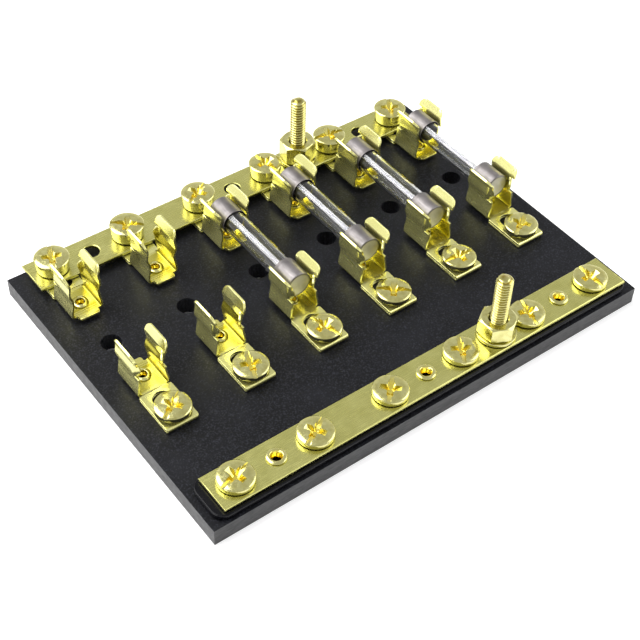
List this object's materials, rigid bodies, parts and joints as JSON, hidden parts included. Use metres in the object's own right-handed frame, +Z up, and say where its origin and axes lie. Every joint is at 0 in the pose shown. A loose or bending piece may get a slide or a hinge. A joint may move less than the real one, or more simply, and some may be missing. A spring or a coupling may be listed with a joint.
{
  "type": "fuse block",
  "caption": "Flat insulating board with rows of brass spring clips for glass tube fuses, a feed bar, a ground bar, terminal screws and threaded studs.",
  "frame": {"origin": "centre of the board's underside", "axes": "+Z up from the board, +X along the rows of terminals, -Y towards the ground bar"},
  "size_m": [0.118, 0.086, 0.0257],
  "materials": {
    "board": "semi-gloss black laminate with a fine grey speckle",
    "strip": "smooth black plastic",
    "bar_brass": "smooth pale brass",
    "clip_brass": "bright spring brass",
    "screw_brass": "bright turned brass",
    "cap_nickel": "satin nickel plate",
    "fuse_glass": "clear glass",
    "fuse_element": "bright tinned wire"
  },
  "bodies": {
    "block": {"base_board": "board", "insulator_strip": "strip", "ground_bus_bar": "bar_brass", "feed_bus_bar": "bar_brass", "load_clip_1": "clip_brass", "load_clip_2": "clip_brass", "load_clip_3": "clip_brass", "load_clip_4": "clip_brass", "load_clip_5": "clip_brass", "load_clip_6": "clip_brass", "feed_clip_1": "clip_brass", "feed_clip_2": "clip_brass", "feed_clip_3": "clip_brass", "feed_clip_4": "clip_brass", "feed_clip_5": "clip_brass", "feed_clip_6": "clip_brass", "ground_bar_eyelet_1": "screw_brass", "ground_bar_eyelet_2": "screw_brass", "ground_bar_eyelet_3": "screw_brass", "ground_stud": "screw_brass", "feed_stud": "screw_brass", "ground_stud_washer": "screw_brass", "feed_stud_washer": "screw_brass"},
    "fuse_3": {"fuse_3_glass": "fuse_glass", "fuse_3_element": "fuse_element", "fuse_3_rear_cap": "cap_nickel", "fuse_3_front_cap": "cap_nickel"},
    "fuse_4": {"fuse_4_glass": "fuse_glass", "fuse_4_element": "fuse_element", "fuse_4_rear_cap": "cap_nickel", "fuse_4_front_cap": "cap_nickel"},
    "fuse_5": {"fuse_5_glass": "fuse_glass", "fuse_5_element": "fuse_element", "fuse_5_rear_cap": "cap_nickel", "fuse_5_front_cap": "cap_nickel"},
    "fuse_6": {"fuse_6_glass": "fuse_glass", "fuse_6_element": "fuse_element", "fuse_6_rear_cap": "cap_nickel", "fuse_6_front_cap": "cap_nickel"},
    "load_screw_1": {"load_screw_1": "screw_brass"},
    "load_screw_2": {"load_screw_2": "screw_brass"},
    "load_screw_3": {"load_screw_3": "screw_brass"},
    "load_screw_4": {"load_screw_4": "screw_brass"},
    "load_screw_5": {"load_screw_5": "screw_brass"},
    "load_screw_6": {"load_screw_6": "screw_brass"},
    "feed_screw_1": {"feed_screw_1": "screw_brass"},
    "feed_screw_2": {"feed_screw_2": "screw_brass"},
    "feed_screw_3": {"feed_screw_3": "screw_brass"},
    "feed_screw_4": {"feed_screw_4": "screw_brass"},
    "feed_screw_5": {"feed_screw_5": "screw_brass"},
    "feed_screw_6": {"feed_screw_6": "screw_brass"},
    "ground_screw_1": {"ground_screw_1": "screw_brass"},
    "ground_screw_2": {"ground_screw_2": "screw_brass"},
    "ground_screw_3": {"ground_screw_3": "screw_brass"},
    "ground_screw_4": {"ground_screw_4": "screw_brass"},
    "ground_screw_5": {"ground_screw_5": "screw_brass"},
    "ground_screw_6": {"ground_screw_6": "screw_brass"},
    "ground_stud_nut": {"ground_stud_nut": "screw_brass"},
    "feed_stud_nut": {"feed_stud_nut": "screw_brass"}
  },
  "joints": [
    {"name": "fuse_3_lift", "type": "slide", "parent": "block", "child": "fuse_3", "axis": [0, 0, 1], "range_m": [0, 0.02]},
    {"name": "fuse_4_lift", "type": "slide", "parent": "block", "child": "fuse_4", "axis": [0, 0, 1], "range_m": [0, 0.02]},
    {"name": "fuse_5_lift", "type": "slide", "parent": "block", "child": "fuse_5", "axis": [0, 0, 1], "range_m": [0, 0.02]},
    {"name": "fuse_6_lift", "type": "slide", "parent": "block", "child": "fuse_6", "axis": [0, 0, 1], "range_m": [0, 0.02]},
    {"name": "load_screw_1_turn", "type": "hinge", "parent": "block", "child": "load_screw_1", "pos_m": [-0.0495, -0.0132, 0.0067], "axis": [0, 0, 1], "continuous": true},
    {"name": "load_screw_2_turn", "type": "hinge", "parent": "block", "child": "load_screw_2", "pos_m": [-0.0297, -0.0132, 0.0067], "axis": [0, 0, 1], "continuous": true},
    {"name": "load_screw_3_turn", "type": "hinge", "parent": "block", "child": "load_screw_3", "pos_m": [-0.0099, -0.0132, 0.0067], "axis": [0, 0, 1], "continuous": true},
    {"name": "load_screw_4_turn", "type": "hinge", "parent": "block", "child": "load_screw_4", "pos_m": [0.0099, -0.0132, 0.0067], "axis": [0, 0, 1], "continuous": true},
    {"name": "load_screw_5_turn", "type": "hinge", "parent": "block", "child": "load_screw_5", "pos_m": [0.0297, -0.0132, 0.0067], "axis": [0, 0, 1], "continuous": true},
    {"name": "load_screw_6_turn", "type": "hinge", "parent": "block", "child": "load_screw_6", "pos_m": [0.0495, -0.0132, 0.0067], "axis": [0, 0, 1], "continuous": true},
    {"name": "feed_screw_1_turn", "type": "hinge", "parent": "block", "child": "feed_screw_1", "pos_m": [-0.0495, 0.038, 0.0074], "axis": [0, 0, 1], "continuous": true},
    {"name": "feed_screw_2_turn", "type": "hinge", "parent": "block", "child": "feed_screw_2", "pos_m": [-0.0297, 0.038, 0.0074], "axis": [0, 0, 1], "continuous": true},
    {"name": "feed_screw_3_turn", "type": "hinge", "parent": "block", "child": "feed_screw_3", "pos_m": [-0.0099, 0.038, 0.0074], "axis": [0, 0, 1], "continuous": true},
    {"name": "feed_screw_4_turn", "type": "hinge", "parent": "block", "child": "feed_screw_4", "pos_m": [0.0099, 0.038, 0.0074], "axis": [0, 0, 1], "continuous": true},
    {"name": "feed_screw_5_turn", "type": "hinge", "parent": "block", "child": "feed_screw_5", "pos_m": [0.0297, 0.038, 0.0074], "axis": [0, 0, 1], "continuous": true},
    {"name": "feed_screw_6_turn", "type": "hinge", "parent": "block", "child": "feed_screw_6", "pos_m": [0.0495, 0.038, 0.0074], "axis": [0, 0, 1], "continuous": true},
    {"name": "ground_screw_1_turn", "type": "hinge", "parent": "block", "child": "ground_screw_1", "pos_m": [-0.0495, -0.0367, 0.0075], "axis": [0, 0, 1], "continuous": true},
    {"name": "ground_screw_2_turn", "type": "hinge", "parent": "block", "child": "ground_screw_2", "pos_m": [-0.0297, -0.0367, 0.0075], "axis": [0, 0, 1], "continuous": true},
    {"name": "ground_screw_3_turn", "type": "hinge", "parent": "block", "child": "ground_screw_3", "pos_m": [-0.0099, -0.0367, 0.0075], "axis": [0, 0, 1], "continuous": true},
    {"name": "ground_screw_4_turn", "type": "hinge", "parent": "block", "child": "ground_screw_4", "pos_m": [0.0099, -0.0367, 0.0075], "axis": [0, 0, 1], "continuous": true},
    {"name": "ground_screw_5_turn", "type": "hinge", "parent": "block", "child": "ground_screw_5", "pos_m": [0.0297, -0.0367, 0.0075], "axis": [0, 0, 1], "continuous": true},
    {"name": "ground_screw_6_turn", "type": "hinge", "parent": "block", "child": "ground_screw_6", "pos_m": [0.0495, -0.0367, 0.0075], "axis": [0, 0, 1], "continuous": true},
    {"name": "ground_stud_nut_turn", "type": "hinge", "parent": "block", "child": "ground_stud_nut", "pos_m": [0.0203, -0.0367, 0.0084], "axis": [0, 0, 1], "continuous": true},
    {"name": "feed_stud_nut_turn", "type": "hinge", "parent": "block", "child": "feed_stud_nut", "pos_m": [0.0198, 0.038, 0.0083], "axis": [0, 0, 1], "continuous": true}
  ]
}
